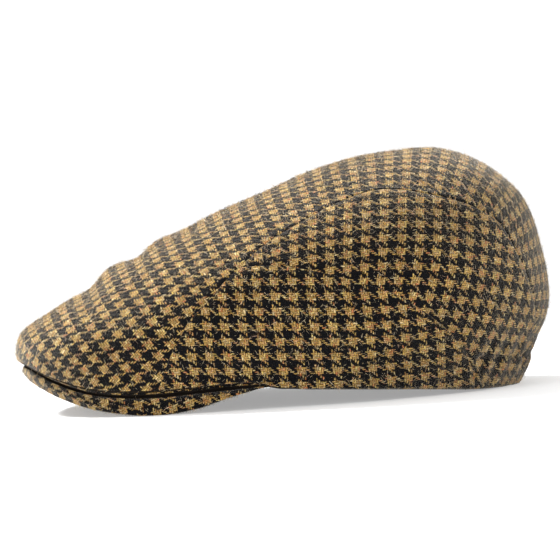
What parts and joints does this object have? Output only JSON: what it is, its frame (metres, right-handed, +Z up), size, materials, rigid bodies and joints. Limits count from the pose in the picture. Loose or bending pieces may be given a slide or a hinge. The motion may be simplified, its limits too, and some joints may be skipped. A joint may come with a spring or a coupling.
{
  "type": "flat cap",
  "caption": "Soft tweed flat cap in a two-tone houndstooth check: a long top panel running forward over the cheeks, side and ear panels, and a cloth-covered peak.",
  "frame": {"origin": "middle of the cap's bounding box in plan, on the surface it rests on", "axes": "+Z up, the peak towards -X, the wearer's left side towards -Y"},
  "size_m": [0.2889, 0.18, 0.1295],
  "materials": {
    "tweed": "woven wool, fuzzy and matt"
  },
  "bodies": {
    "root": {"crown_top": "tweed", "side_upper_left": "tweed", "side_upper_right": "tweed", "ear_panel_left": "tweed", "ear_panel_right": "tweed", "peak": "tweed"}
  },
  "joints": []
}
